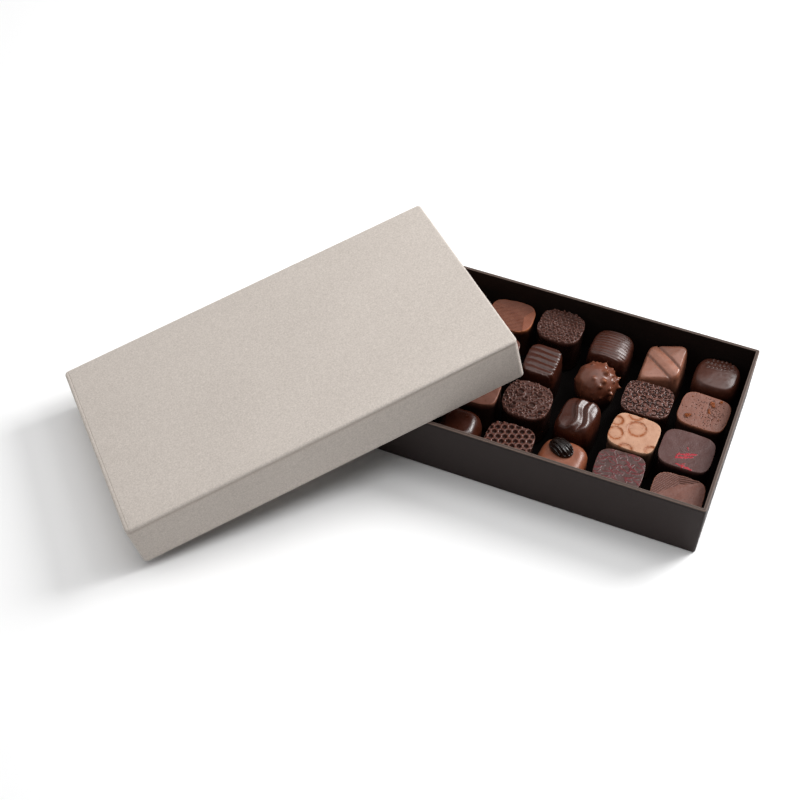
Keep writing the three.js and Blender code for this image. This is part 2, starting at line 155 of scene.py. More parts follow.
def addStudio(v):
    bm = bmesh.new()
    bmesh.ops.create_grid(bm, x_segments=1, y_segments=1, size=v["floorSize"] / 2)
    bmesh.ops.translate(bm, verts=bm.verts, vec=(0, 0, -v["floorDrop"]))
    mesh = bpy.data.meshes.new("studioFloor")
    bm.to_mesh(mesh)
    bm.free()
    floor = newObject("studioFloor", mesh)
    paint = bpy.data.materials.new("studioFloor")
    paint.use_nodes = True
    shader = paint.node_tree.nodes["Principled BSDF"]
    feed(paint.node_tree, shader, Base_Color=v["floorColour"], Roughness=v["floorRoughness"],
         Specular_IOR_Level=v["floorSpecular"])
    mesh.materials.append(paint)
    middle = (cadBox[0] + cadBox[1]) / 2
    for name in ("key", "high"):
        place = middle + Vector(v[name + "From"]).normalized() * v[name + "Distance"]
        aimedLight(name + "Light", place, middle, v[name + "Size"], v[name + "Power"])
    aimedLight("topLight", v["topPlace"], middle, v["topSize"], v["topPower"])
    addSky(v)
    bpy.context.scene.view_settings.view_transform = "Standard"


addStudio(studio)
print("studio ready")


def newGroup(name, inputs, outputs):
    group = bpy.data.node_groups.new(name, "ShaderNodeTree")
    group.interface.new_socket("Vector", in_out="INPUT", socket_type="NodeSocketVector")
    for label, value in inputs.items():
        socket = group.interface.new_socket(label, in_out="INPUT", socket_type="NodeSocketFloat")
        socket.default_value = value
    for label in outputs:
        group.interface.new_socket(label, in_out="OUTPUT", socket_type="NodeSocketFloat")
    return group, group.nodes.new("NodeGroupInput"), group.nodes.new("NodeGroupOutput")


def addNoise(tree, vector, scale, detail=2.0, roughness=0.5):
    texture = addNode(tree, "TexNoise")
    feed(tree, texture, Vector=vector, Scale=scale, Detail=detail, Roughness=roughness)
    return texture.outputs["Fac"]


def addMath(tree, operation, first, second, clamp=False):
    node = addNode(tree, "Math")
    node.operation = operation
    node.use_clamp = clamp
    for socket, value in zip(node.inputs, (first, second)):
        feedSocket(tree, socket, value)
    return node.outputs[0]


def addMix(tree, share, first, second):
    node = addNode(tree, "Mix")
    node.data_type = "RGBA"
    node.clamp_factor = True
    for index, value in ((0, share), (6, first), (7, second)):  # factor and the two colours
        feedSocket(tree, node.inputs[index], value)
    return node.outputs[2]


def addContrast(tree, value, level, gain, clamp=False):
    return addMath(tree, "MULTIPLY", addMath(tree, "SUBTRACT", value, level), gain, clamp)


# Cloudy tone and fine grain of set chocolate; scales are per metre
cocoaGrain = {
    "cloudScale": 160.0,
    "cloud": (0.34, 3.1),  # level where it starts, and its contrast
    "grainScale": 2400.0,
    "speckScale": 0.4,  # share of the grain's scale
    "speck": (0.62, 7.0),
    "waveScale": 420.0,
    "waveHeight": 2.2,  # against the grain
}


def cocoaGroup(v):
    scales = {"Cloud Scale": v["cloudScale"], "Grain Scale": v["grainScale"]}
    group, start, end = newGroup("cocoaGrain", scales, ("Cloud", "Speck", "Height"))
    vector = start.outputs["Vector"]
    cloud = addNoise(group, vector, start.outputs["Cloud Scale"], 3.0, 0.6)
    cloud = addContrast(group, cloud, *v["cloud"], True)
    grain = addNoise(group, vector, start.outputs["Grain Scale"], 2.0, 0.6)
    speckScale = addMath(group, "MULTIPLY", start.outputs["Grain Scale"], v["speckScale"])
    speck = addContrast(group, addNoise(group, vector, speckScale, 1.0), *v["speck"], True)
    wave = addMath(group, "MULTIPLY", addNoise(group, vector, v["waveScale"]), v["waveHeight"])
    feed(group, end, Cloud=cloud, Speck=speck, Height=addMath(group, "ADD", grain, wave))
    return group


# Fine mottled grain of the covering paper; scales are per metre
paperGrain = {"grainScale": 1500.0, "grain": 2.4, "blotchScale": 300.0, "cloudScale": 18.0, "blotches": 0.3}


def paperGroup(v):
    group, start, end = newGroup("paperGrain", {"Grain Scale": v["grainScale"]}, ("Tone", "Height"))
    vector = start.outputs["Vector"]
    grain = addNoise(group, vector, start.outputs["Grain Scale"], 4.0, 0.7)
    blotch = addNoise(group, vector, v["blotchScale"], 3.0, 0.6)
    cloud = addNoise(group, vector, v["cloudScale"], 3.0, 0.6)
    tone = addContrast(group, grain, 0.5, v["grain"])
    for layer in (blotch, cloud):
        tone = addMath(group, "ADD", tone, addContrast(group, layer, 0.5, v["blotches"]))
    tone = addMath(group, "ADD", tone, 0.5, True)
    feed(group, end, Tone=tone, Height=addMath(group, "ADD", grain, blotch))
    return group


grainGroups = {"cocoa": cocoaGroup(cocoaGrain), "paper": paperGroup(paperGrain)}


def startMaterial(name, groupName, scales, turn=0.0):
    material = bpy.data.materials.new(name)
    material.use_nodes = True
    tree = material.node_tree
    vector = addNode(tree, "TexCoord").outputs["Object"]
    if turn:
        mapping = addNode(tree, "Mapping")
        mapping.inputs["Rotation"].default_value = (0, 0, -turn)
        feed(tree, mapping, Vector=vector)
        vector = mapping.outputs["Vector"]
    group = addNode(tree, "Group")
    group.node_tree = grainGroups[groupName]
    feed(tree, group, Vector=vector, **scales)
    return material, tree, tree.nodes["Principled BSDF"], group


# Colour, a roughness that varies with a tone of the grain, specular level and bump
def setSurface(tree, shader, grain, colour, tone, v):
    rough = addMath(tree, "MULTIPLY", grain.outputs[tone], v["roughnessSpread"])
    rough = addMath(tree, "ADD", rough, v["roughness"])
    bump = addNode(tree, "Bump")
    feed(tree, bump, Distance=v["depth"], Strength=1.0, Height=grain.outputs["Height"])
    feed(tree, shader, Base_Color=colour, Roughness=rough, Normal=bump.outputs["Normal"])
    shader.inputs["Specular IOR Level"].default_value = v["specular"]


def attribute(tree, name):
    node = addNode(tree, "Attribute")
    node.attribute_name = name
    return node.outputs["Fac"]


# Paper: tone between a dark and a light shade, its grain as bump, rubbed edges that also carry a painted
# highlight, and painted shade along creases
papers = {
    "tray": {
        "dark": (0.0165, 0.0103, 0.0092), "light": (0.033, 0.0222, 0.0208),
        "rubbed": (0.19, 0.135, 0.11), "creased": (0.007, 0.005, 0.0045),
        # The tray's inside and bottom tones are painted shade, nearly black at the bottom
        "inside": (0.014, 0.009, 0.0074), "bottom": (0.003, 0.002, 0.0018), "insideSpecular": 0.06,
        "roughness": 0.48, "roughnessSpread": 0.12, "specular": 0.18, "grain": 1400.0, "depth": 0.00006,
    },
    "lid": {
        "dark": (0.43, 0.383, 0.345), "light": (0.615, 0.557, 0.507),
        "rubbed": (0.88, 0.81, 0.74), "creased": (0.27, 0.215, 0.17),
        "inside": (0.4, 0.35, 0.31), "bottom": (0.4, 0.35, 0.31), "insideSpecular": 0.2,
        "roughness": 0.62, "roughnessSpread": 0.12, "specular": 0.12, "grain": 1150.0, "depth": 0.00008,
    },
}
lining = {"roughness": 0.75, "lighter": 1.5}  # lighter: its light tone against its dark one


def paperMaterial(name, v, turn, part=None):
    material, tree, shader, grain = startMaterial(name, "paper", {"Grain Scale": v["grain"]}, turn)
    # The lining's tones; on the tray they are painted shade
    if part:
        light = tuple(lining["lighter"] * c for c in v[part])
        colour = addMix(tree, grain.outputs["Tone"], v[part], light)
        v = {**v, "roughness": lining["roughness"], "specular": v["insideSpecular"]}
    else:
        colour = addMix(tree, grain.outputs["Tone"], v["dark"], v["light"])
        # Painted shade along the creases, and a rim worn lighter with a painted highlight
        for mask in ("creased", "rubbed"):
            colour = addMix(tree, attribute(tree, mask), colour, v[mask])
    setSurface(tree, shader, grain, colour, "Tone", v)
    return material


# Chocolate: base and cloud tones, a warmer thin edge that is partly a painted highlight, painted shade in
# hollows and low on the sides, and one accent colour where the piece has it
everyChocolate = {
    "hollowTone": 0.16,  # share of the base tone as painted shade in hollows, and in specks
    "sideTone": 0.07,  # and as painted shade low on the sides
    "speckShare": 0.35,
    "roughnessSpread": 0.08,
    "index": 1.47,
    "specular": 0.35,
    "coat": 0.0,
    "coatRoughness": 0.22,
    "depth": 0.00004,
}
chocolates = {
    "darkMatte": {
        "base": (0.096, 0.033, 0.0225), "cloud": (0.114, 0.045, 0.033), "edge": (0.15, 0.07, 0.055),
        "accent": (0.2, 0.012, 0.016), "roughness": 0.22, "specular": 0.45, "depth": 0.00005,
    },
    "darkCoating": {
        "base": (0.052, 0.0135, 0.0068), "cloud": (0.064, 0.018, 0.0102), "edge": (0.066, 0.02, 0.0125),
        "accent": (0.1, 0.03, 0.014), "roughness": 0.34, "specular": 0.5, "coat": 0.15,
    },
    "milkMatte": {
        "base": (0.19, 0.076, 0.051), "cloud": (0.225, 0.098, 0.07), "edge": (0.31, 0.11, 0.057),
        "accent": (0.3, 0.09, 0.03), "roughness": 0.4, "depth": 0.00005,
    },
    "milkCoating": {
        "base": (0.125, 0.034, 0.0165), "cloud": (0.15, 0.05, 0.028), "edge": (0.24, 0.085, 0.04),
        "accent": (0.42, 0.15, 0.07), "roughness": 0.3, "specular": 0.5, "coat": 0.2,
    },
    "blonde": {
        "base": (0.39, 0.2, 0.125), "cloud": (0.46, 0.255, 0.165), "edge": (0.6, 0.36, 0.22),
        "accent": (0.25, 0.07, 0.018), "roughness": 0.45,
    },
    "bean": {
        "base": (0.009, 0.0042, 0.003), "cloud": (0.015, 0.0065, 0.0045), "edge": (0.02, 0.01, 0.0075),
        "accent": (0.02, 0.01, 0.0075), "roughness": 0.13, "specular": 0.45,
    },
}
variants = {  # finishes that differ from another only in tone or accent
    "raspberry": ("darkMatte", {
        "base": (0.07, 0.027, 0.023), "cloud": (0.083, 0.036, 0.032), "edge": (0.13, 0.07, 0.06),
        "accent": (0.3, 0.01, 0.02), "roughness": 0.42, "specular": 0.35}),
    "marbled": ("darkMatte", {
        "base": (0.052, 0.02, 0.0165), "cloud": (0.064, 0.028, 0.024), "accent": (0.105, 0.004, 0.007),
        "roughness": 0.38}),
    "caramelChips": ("milkMatte", {
        "base": (0.165, 0.066, 0.045), "cloud": (0.195, 0.084, 0.06), "accent": (0.25, 0.065, 0.014)}),
    "amberMilk": ("milkMatte", {
        "base": (0.195, 0.06, 0.031), "cloud": (0.23, 0.08, 0.045), "edge": (0.38, 0.12, 0.045)}),
    # Lighter than milkCoating, partly as a painted highlight on the banded praline
    "foldedMilk": ("milkCoating", {
        "base": (0.28, 0.107, 0.063), "cloud": (0.33, 0.135, 0.084), "edge": (0.37, 0.155, 0.09),
        "coat": 0.6}),
    "warmMilk": ("milkCoating", {
        "base": (0.185, 0.052, 0.022), "cloud": (0.22, 0.068, 0.032), "roughness": 0.38, "coat": 0.1}),
    "hatchedMilk": ("milkMatte", {
        "base": (0.132, 0.047, 0.032), "cloud": (0.158, 0.063, 0.046), "edge": (0.25, 0.1, 0.06)}),
    "deepCoating": ("darkCoating", {
        "base": (0.042, 0.0095, 0.0042), "cloud": (0.05, 0.0125, 0.0065), "roughness": 0.27, "coat": 0.1}),
}


def chocolateMaterial(name, v):
    v = {**everyChocolate, **v}
    material, tree, shader, grain = startMaterial(name, "cocoa", {})
    # Painted shade tones: one for hollows, also taken by the specks, and one low on the sides
    hollow, side = (tuple(v[tone] * c for c in v["base"]) for tone in ("hollowTone", "sideTone"))
    colour = addMix(tree, grain.outputs["Cloud"], v["base"], v["cloud"])
    # The edge tone is a warmer thin lip, partly a painted highlight, and a painted highlight on crests
    for mask, tone in (("hollow", hollow), ("side", side), ("edge", v["edge"])):
        colour = addMix(tree, attribute(tree, mask), colour, tone)
    speck = addMath(tree, "MULTIPLY", grain.outputs["Speck"], v["speckShare"])
    colour = addMix(tree, speck, colour, hollow)
    colour = addMix(tree, attribute(tree, "accent"), colour, v["accent"])
    setSurface(tree, shader, grain, colour, "Cloud", v)
    feed(tree, shader, IOR=v["index"], Coat_Weight=v["coat"], Coat_Roughness=v["coatRoughness"])
    return material


finishes = {name: chocolateMaterial(name, values) for name, values in chocolates.items()}
slots = {
    "darkMatte": "dark_matte", "darkCoating": "dark_coating", "milkMatte": "milk_matte",
    "milkCoating": "milk_coating", "blonde": "blonde_chocolate",
}
for name, (kin, changes) in variants.items():
    finishes[name] = chocolateMaterial(name, {**chocolates[kin], **changes})
    slots[name] = slots[kin]
print("materials ready")


def addPiece(name, bm, material):
    mesh = bpy.data.meshes.new(name)
    bm.to_mesh(mesh)
    bm.free()
    mesh.materials.append(material)
    mesh.polygons.foreach_set("use_smooth", [True] * len(mesh.polygons))
    piece = newObject(name, mesh)
    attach(piece, "root")
    return piece


def setMasks(piece, **masks):
    count = len(piece.data.vertices)
    for name, values in masks.items():
        layer = piece.data.attributes.new(name, "FLOAT", "POINT")
        shares = np.clip(np.broadcast_to(values, count), 0, 1)
        layer.data.foreach_set("value", shares.astype(np.float32))


# Tray and lid: rigid board boxes covered with paper that is turned in over the rim
trayBox = {
    "board": 2.0,
    "floor": 2.2,
    "cornerRound": 1.3,
    "edgeRound": 0.7,
    "rimRound": 0.55,
    "turnIn": 9.0,  # how far the covering paper reaches down inside
    "paper": 0.18,  # the step where it ends
    "wallCreases": ((36.2, 0.45, 0.16),),  # height over the base, half width, depth
    "baseCreases": (),  # distance from the end, half width, depth
    "endShares": (1, 1),  # how deep those are at the two ends, and how dark their painted shade
    "crisp": 1.3,  # rounding of the corner at +x +y, while the mouth is up
    "rubbed": (0.25, 0.8),  # paper worn lighter with a painted highlight, on the rim's flat and on its rounding
    # strength of the painted shade along the creases
    "creased": 0.8,
}
lidBox = {
    "board": 2.0, "floor": 2.0, "cornerRound": 2.4, "edgeRound": 1.3, "rimRound": 0.55,
    "turnIn": 14.0, "paper": 0.18,
    "wallCreases": ((2.4, 1.5, 0.2), (28.4, 0.3, 0.1)),
    "baseCreases": ((2.1, 0.45, 0.3),), "endShares": (0.6, 0),
    "crisp": 2.4, "rubbed": (0.6, 0.6), "creased": 0.4,
}
boxSegments = 5
exact = 1e-4  # two points closer than this are one
close = 0.01  # a point this near a crease or the rim's flat is on it
skin = 0.4  # a point this near the outer faces belongs to them


def creaseAcross(bm, axis, at, half, depth, chosen):
    normal = Vector([float(index == axis) for index in range(3)])
    for level in (at - half, at, at + half):
        geometry = bm.verts[:] + bm.edges[:] + bm.faces[:]
        bmesh.ops.bisect_plane(bm, geom=geometry, dist=exact / 10, plane_co=normal * level, plane_no=normal)
    for vert in bm.verts:
        if abs(vert.co[axis] - at) < exact:
            vert.co += chosen(vert.co) * depth


def wrappedBox(length, width, height, v):
    bm = bmesh.new()
    bmesh.ops.create_cube(bm, size=1)
    bmesh.ops.scale(bm, verts=bm.verts, vec=(length, width, height))
    bmesh.ops.translate(bm, verts=bm.verts, vec=(0, 0, height / 2))
    mouth = max(bm.faces, key=lambda face: face.calc_center_median().z)
    corners = [e for e in bm.edges if abs(e.verts[0].co.z - e.verts[1].co.z) > height / 2]
    bmesh.ops.inset_region(bm, faces=[mouth], thickness=v["board"], use_even_offset=True)
    inside = mouth
    for depth, widen in ((v["turnIn"], 0), (v["paper"], v["paper"]), (0, 0)):
        rest = inside.calc_center_median().z - v["floor"]
        inside = bmesh.ops.extrude_discrete_faces(bm, faces=[inside])["faces"][0]
        bmesh.ops.translate(bm, verts=inside.verts, vec=(0, 0, -(depth or rest)))
        for vert in inside.verts:
            vert.co.x += math.copysign(widen, vert.co.x)
            vert.co.y += math.copysign(widen, vert.co.y)
    crisp = [e for e in corners if min(e.verts[0].co.x, e.verts[0].co.y) > 0]
    corners = [e for e in corners if e not in crisp]

    def rounded(edges, offset):
        shape = {"segments": boxSegments, "profile": 0.5, "affect": "EDGES"}
        bmesh.ops.bevel(bm, geom=edges, offset=offset, offset_type="OFFSET", material=-1, **shape)

    def foldsAt(level):
        flat = [e for e in bm.edges if all(abs(vert.co.z - level) < exact for vert in e.verts)]
        return [e for e in flat if min(abs(face.normal.z) for face in e.link_faces) < 0.1]

    rounded(crisp, v["crisp"])
    rounded(corners, v["cornerRound"])
    rounded(foldsAt(0), v["edgeRound"])
    rounded(foldsAt(height), v["rimRound"])
    sides = (length / 2 - skin, width / 2 - skin)

    def inward(point):
        push = [-math.copysign(abs(point[i]) > sides[i], point[i]) for i in (0, 1)]
        return Vector((*push, 0))

    def upward(point):
        return Vector((0, 0, float(point.z < 0.1)))

    for at, half, depth in v["wallCreases"]:
        creaseAcross(bm, 2, at, half, depth, inward)
    for away, half, depth in v["baseCreases"]:
        for end, share in zip((-1, 1), v["endShares"]):
            if share:
                creaseAcross(bm, 0, end * (length / 2 - away), half, share * depth, upward)
    bmesh.ops.recalc_face_normals(bm, faces=bm.faces)
    return bm


def boxMasks(piece, length, height, v):
    x, y, z = np.array([vert.co for vert in piece.data.vertices]).T
    over = z > height - v["rimRound"] + 2 * close
    # The rim is lighter: worn paper with a painted highlight
    rubbed = np.where(over, np.where(z > height - close, *v["rubbed"]), 0)
    # Painted shade along the creases of the walls and of the base near the ends
    creased = np.zeros(len(z))
    for at, *_ in v["wallCreases"]:
        creased = np.maximum(creased, np.abs(z - at) < close)
    for away, *_ in v["baseCreases"]:
        atCrease = (np.abs(np.abs(x) - length / 2 + away) < close) & (z < 1)
        creased = np.maximum(creased, np.where(x < 0, *v["endShares"]) * atCrease)
    setMasks(piece, rubbed=rubbed, creased=v["creased"] * creased)


# Faces inside the box, below the rim, take the lining; on the tray its tones are painted shade, nearly black
# on the floor
def lineInside(piece, length, width, height, v):
    x, y, z = np.array([face.center for face in piece.data.polygons]).T
    board, level = v["board"] - 0.3, 0.1
    within = (np.abs(x) < length / 2 - board) & (np.abs(y) < width / 2 - board)
    within &= (z > v["floor"] - level) & (z < height - level)
    bottom = within & (z < v["floor"] + level)
    piece.data.polygons.foreach_set("material_index", within.astype(np.int32) + bottom)


def finishBox(name, size, values, turn, place):
    paper = papers[name]
    piece = addPiece(name + "Wrapped", wrappedBox(*size, values), paperMaterial(name + "Paper", paper, turn))
    for part in ("inside", "bottom"):
        piece.data.materials.append(paperMaterial(f"{name}_{part}", paper, turn, part))
    boxMasks(piece, size[0], size[2], values)
    lineInside(piece, *size, values)
    broad = 4**2  # square millimetres; larger faces are flat
    for face in piece.data.polygons:
        face.use_smooth = face.area < broad
    piece.data.transform(place @ Matrix.Scale(mm, 4))
    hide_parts(name)


# The lid's own axes are read from its solid: its top, then its long wall
def lidAxes():
    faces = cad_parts["lid"].data.polygons
    top = max((f for f in faces if f.normal.z > 0.9), key=lambda f: f.area).normal
    wall = max((f for f in faces if abs(f.normal.dot(top)) < 0.01), key=lambda f: f.area).normal
    along = wall.cross(top)
    along = along if along.x > 0 else -along
    across = top.cross(along)
    turn = Matrix((along, across, top)).transposed()
    points = np.array([turn.transposed() @ v.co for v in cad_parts["lid"].data.vertices])
    return turn, points.min(0), points.max(0)


def makeTray():
    low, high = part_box("tray")
    size = (high - low) / mm
    place = Matrix.Translation(((low.x + high.x) / 2, (low.y + high.y) / 2, low.z))
    finishBox("tray", size, trayBox, 0, place)


def makeLid():
    turn, low, high = lidAxes()
    middle = (low + high) / 2
    over = Matrix.Rotation(math.pi, 4, "X")  # made mouth up and turned over
    place = turn.to_4x4() @ Matrix.Translation((middle[0], middle[1], high[2])) @ over
    heading = math.atan2(turn[1][0], turn[0][0])
    finishBox("lid", (high - low) / mm, lidBox, heading, place)


makeTray()
makeLid()
print("tray and lid made")


# Helpers for relief on the pralines. x and y are millimetres from the middle of the praline.
def blendIn(start, end, value):
    share = np.clip((value - start) / (end - start), 0, 1)
    return share * share * (3 - 2 * share)


def softened(points, rounds=3):
    line = np.array(points, float)
    for _ in range(rounds):
        cut = np.empty((2 * len(line) - 2, 2))
        cut[0::2] = 0.75 * line[:-1] + 0.25 * line[1:]
        cut[1::2] = 0.25 * line[:-1] + 0.75 * line[1:]
        line = np.vstack((line[:1], cut, line[-1:]))
    return line


def cloudAt(x, y, size, seed, z=0.0):
    z = np.broadcast_to(z, x.shape)
    points = zip(x / size, y / size, z / size)
    return np.array([noise.noise((a + 17.3 * seed, b - 9.1 * seed, c)) for a, b, c in points])


# Spots in a jittered triangular pattern: x, y, a random share and a random angle
def scattered(seed, spacing, jitter, size):
    source = random.Random(seed)
    spots = []
    rowStep = 0.87 * spacing
    for row in range(int(size[1] / rowStep) + 2):
        for column in range(int(size[0] / spacing) + 2):
            x = (column + 0.5 * (row % 2)) * spacing - size[0] / 2 + jitter * source.uniform(-1, 1)
            y = row * rowStep - size[1] / 2 + jitter * source.uniform(-1, 1)
            spots.append((x, y, source.random(), source.uniform(0, 2 * math.pi)))
    return spots


def bell(value):
    return np.exp(-(value**2))


# Distances along and across a direction in radians
def turned(x, y, angle):
    return x * math.cos(angle) + y * math.sin(angle), y * math.cos(angle) - x * math.sin(angle)


def ringAt(x, y, spot, radius, thickness):
    return bell((np.hypot(x - spot[0], y - spot[1]) - radius) / thickness)


def dotAt(x, y, spot, radius):
    return np.clip(1 - ((x - spot[0]) ** 2 + (y - spot[1]) ** 2) / radius**2, 0, None)


def dashAt(x, y, spot, turn, half, width):
    along, across = turned(x - spot[0], y - spot[1], turn)
    return np.clip(1 - (along / half) ** 2 - (across / width) ** 2, 0, None) ** 0.7


# Reliefs return height in millimetres and a mask for the accent colour.
# Short raised dashes and a few small rings
stippledTop = {
    "spacing": 2.6, "jitter": 0.55, "half": 1.2, "width": 0.62, "height": 1.5,
    "rings": (0.25, 0.8, 0.3),  # their share of the marks, radius, thickness
    "turn": (0.9, 0.5),  # radians, and how much that varies
}


def stippled(x, y, size, seed):
    v = stippledTop
    rings, radius, thickness = v["rings"]
    high = 0 * x
    for spot in scattered(seed, v["spacing"], v["jitter"], size):
        if spot[2] < rings:
            mark = ringAt(x, y, spot, radius, thickness)
        else:
            turn, half = v["turn"][0] + v["turn"][1] * spot[3], v["half"] * (0.6 + 0.5 * spot[2])
            mark = dashAt(x, y, spot, turn, half, v["width"])
        high = np.maximum(high, (0.6 + 0.4 * spot[2]) * mark)
    return v["height"] * high, 0


# Engraved rings and curls, small in the back half and larger in front, with small dots between
ringedTop = {
    "front": (4.4, 0.7, 1.5, 0.4, -20, 1.0),  # pitch, jitter, radius, half width, from and to in y
    "back": (2.9, 0.5, 0.85, 0.32, 1.8, 20),
    "depth": 0.85,
    "curls": 0.4,  # rings whose random share is above this are open
    "dots": (1.9, 0.5, 0.42, 0.35),  # pitch, jitter, radius, height
}


def ringed(x, y, size, seed):
    v = ringedTop
    deep = 0 * x
    pitch, jitter, radius, height = v["dots"]
    high = 0 * x
    for spot in scattered(seed + 1, pitch, jitter, size):
        high = np.maximum(high, height * dotAt(x, y, spot, radius))
    for pitch, jitter, radius, half, low, top in (v["front"], v["back"]):
        for spot in scattered(seed, pitch, jitter, size):
            if not low < spot[1] < top:
                continue
            mark = ringAt(x, y, spot, radius * (0.8 + 0.35 * spot[2]), half)
            if spot[2] > v["curls"]:
                around = np.arctan2(y - spot[1], x - spot[0]) - spot[3]
                mark = mark * blendIn(-0.9, -0.4, -np.cos(around))
            deep = np.maximum(deep, mark)
    return high * (1 - deep) - v["depth"] * deep, 0


# Raised curls around six rings with a sunk middle
bubbledTop = {
    "spots": (  # x, y, radius
        (-5.2, 3.4, 2.1), (3.6, -4.0, 2.2), (5.4, 5.6, 1.5),
        (-6.0, -6.6, 1.5), (-1.0, -0.2, 1.2), (9.6, -7.4, 1.7),
    ),
    "curls": (3.0, 0.7, 0.95),  # pitch, jitter, radius
    "free": 1.3,  # how far curls stay off the rings
    "thickness": 0.42,
    "height": 1.25,
    "sunk": 0.4,
}


def bubbled(x, y, size, seed):
    v = bubbledTop
    high = 0.1 * np.abs(cloudAt(x, y, 0.7, seed))
    pitch, jitter, radius = v["curls"]
    for spot in scattered(seed, pitch, jitter, size):
        if any(math.dist(spot[:2], s[:2]) < s[2] + v["free"] for s in v["spots"]):
            continue
        around = np.arctan2(y - spot[1], x - spot[0]) - 0.9 - 0.3 * spot[3]
        mark = ringAt(x, y, spot, radius * (0.7 + 0.5 * spot[2]), v["thickness"])
        high = np.maximum(high, (0.6 + 0.4 * spot[2]) * mark * blendIn(-0.6, 0.3, np.cos(around)))
    for spot in v["spots"]:
        sunk = v["sunk"] * (np.hypot(x - spot[0], y - spot[1]) < spot[2])
        ring = ringAt(x, y, spot, spot[2], v["thickness"]) * (1 + v["sunk"])
        high = np.maximum(np.where(sunk > 0, -sunk, high), ring - sunk)
    return v["height"] * high, 0


# Brush strokes: tapering arcs, proud of the top, coloured along the middle
marbledTop = {"pitch": 2.6, "jitter": 1.3, "radius": (1.8, 5.0), "sweep": 5.2, "half": 0.52, "height": 0.14}


def marbled(x, y, size, seed):
    v = marbledTop
    source = random.Random(seed)
    high = 0 * x
    mask = 0 * x
    ragged = 0.2 * cloudAt(x, y, 0.9, seed)
    sway = 0.7 * cloudAt(x, y, 5.0, seed + 1)
    for spot in scattered(seed, v["pitch"], v["jitter"], size):
        radius = source.uniform(*v["radius"])
        sweep = v["sweep"] / radius
        start = source.choice((0.6, 3.7)) + source.uniform(-0.7, 0.7)
        around = (np.arctan2(y - spot[1], x - spot[0]) - start) % (2 * math.pi)
        share = around / sweep
        half = v["half"] * source.uniform(0.5, 1.1) * np.sin(math.pi * np.clip(share, 0, 1)) ** 0.7 + 1e-3
        away = np.abs(np.hypot(x - spot[0], y - spot[1]) - radius + sway) + ragged
        mark = np.clip(1 - (away / (1.6 * half)) ** 2, 0, 1) * (share < 1)
        high = np.maximum(high, mark)
        mask = np.maximum(mask, (1 - blendIn(0.6, 1.1, away / half)) * (share < 1) * source.uniform(0.5, 1))
    return v["height"] * high, mask


# Fields of fine grooves around one point: from and to (degrees), the grooves' angle, pitch and strength
hatchedTop = {
    "depth": 0.6,
    "groove": 0.26,  # half width as a share of the pitch
    "front": ((-0.2, 6.1), (26, 111, 8, 1.4, 0.8), (111, 222, 56, 1.15, 0.62), (222, 386, 20, 1.0, 0.05)),
    "back": ((7.4, 0.7), (-82, 58, 68, 1.1, 0.12), (58, 165, 12, 1.1, 0.5), (165, 278, 12, 1.1, 0.65)),
}


def hatched(x, y, size, seed, layout="front"):
    v = hatchedTop
    (middleX, middleY), *fields = v[layout]
    around = np.degrees(np.arctan2(y - middleY, x - middleX))
    high = 0 * x
    for start, end, angle, pitch, strength in fields:
        inside = (around - start) % 360 < end - start
        across = turned(x, y, math.radians(angle))[1] / pitch
        away = np.abs(across - np.round(across))
        groove = strength * bell(away / v["groove"])
        high[inside] = -groove[inside]
    return v["depth"] * high + 0.05 * cloudAt(x, y, 0.8, seed), 0


# Ragged chips in two sizes over a top full of small pores
crumbedTop = {
    "chips": (  # x, y, radius
        (2.6, 7.1, 1.35), (3.6, 5.6, 1.0), (-7.9, -6.5, 1.3), (-6.6, -5.6, 0.8), (2.7, 0.2, 0.9),
        (2.2, 1.7, 0.7), (6.9, 10.2, 0.9), (-3.4, 3.6, 0.4), (8.8, -3.1, 0.35), (-8.8, 8.2, 0.4),
    ),
    "height": 0.85,
    "pores": 170,
    "poreDepth": 0.4,
    "poreRadius": (0.25, 0.5),
}


def crumbed(x, y, size, seed):
    v = crumbedTop
    source = random.Random(seed)
    ragged = cloudAt(x, y, 0.55, seed)
    high = 0 * x
    around = 0 * x
    for spot in v["chips"]:
        near = dotAt(x, y, spot, spot[2] * 1.25) + 0.9 * ragged * dotAt(x, y, spot, spot[2] * 2)
        high = np.maximum(high, blendIn(0.1, 0.55, near))
        around = np.maximum(around, dotAt(x, y, spot, spot[2] * 2.1))
    mask = high.copy()
    high = v["height"] * high * (0.7 + 1.1 * cloudAt(x, y, 0.45, seed + 2))
    high = high - 0.6 * around * (1 - mask) * (ragged > 0.05)
    for _ in range(v["pores"]):
        spot = (source.gauss(0.1, 0.24) * size[0], source.gauss(0.05, 0.26) * size[1])
        high = high - v["poreDepth"] * dotAt(x, y, spot, source.uniform(*v["poreRadius"]))
    return high + 0.07 * cloudAt(x, y, 0.7, seed + 4), mask


# A few coloured strokes
streakedTop = {
    "strokes": (  # x and y of the start, of the end, half width
        (-4.3, -7.4, -3.4, -3.2, 0.7), (-3.2, -4.4, 5.6, -0.9, 0.95), (-4.0, -7.0, 4.0, -3.4, 0.85),
        (-0.4, 2.4, 0.9, 0.3, 0.32), (-2.8, -11.0, 5.8, -12.2, 0.9), (-0.5, -10.6, 1.6, -9.2, 0.35),
    ),
    "height": 0.12,
    "dimples": (0.1, 4.4),  # depth and how close they stand, around the middle
}


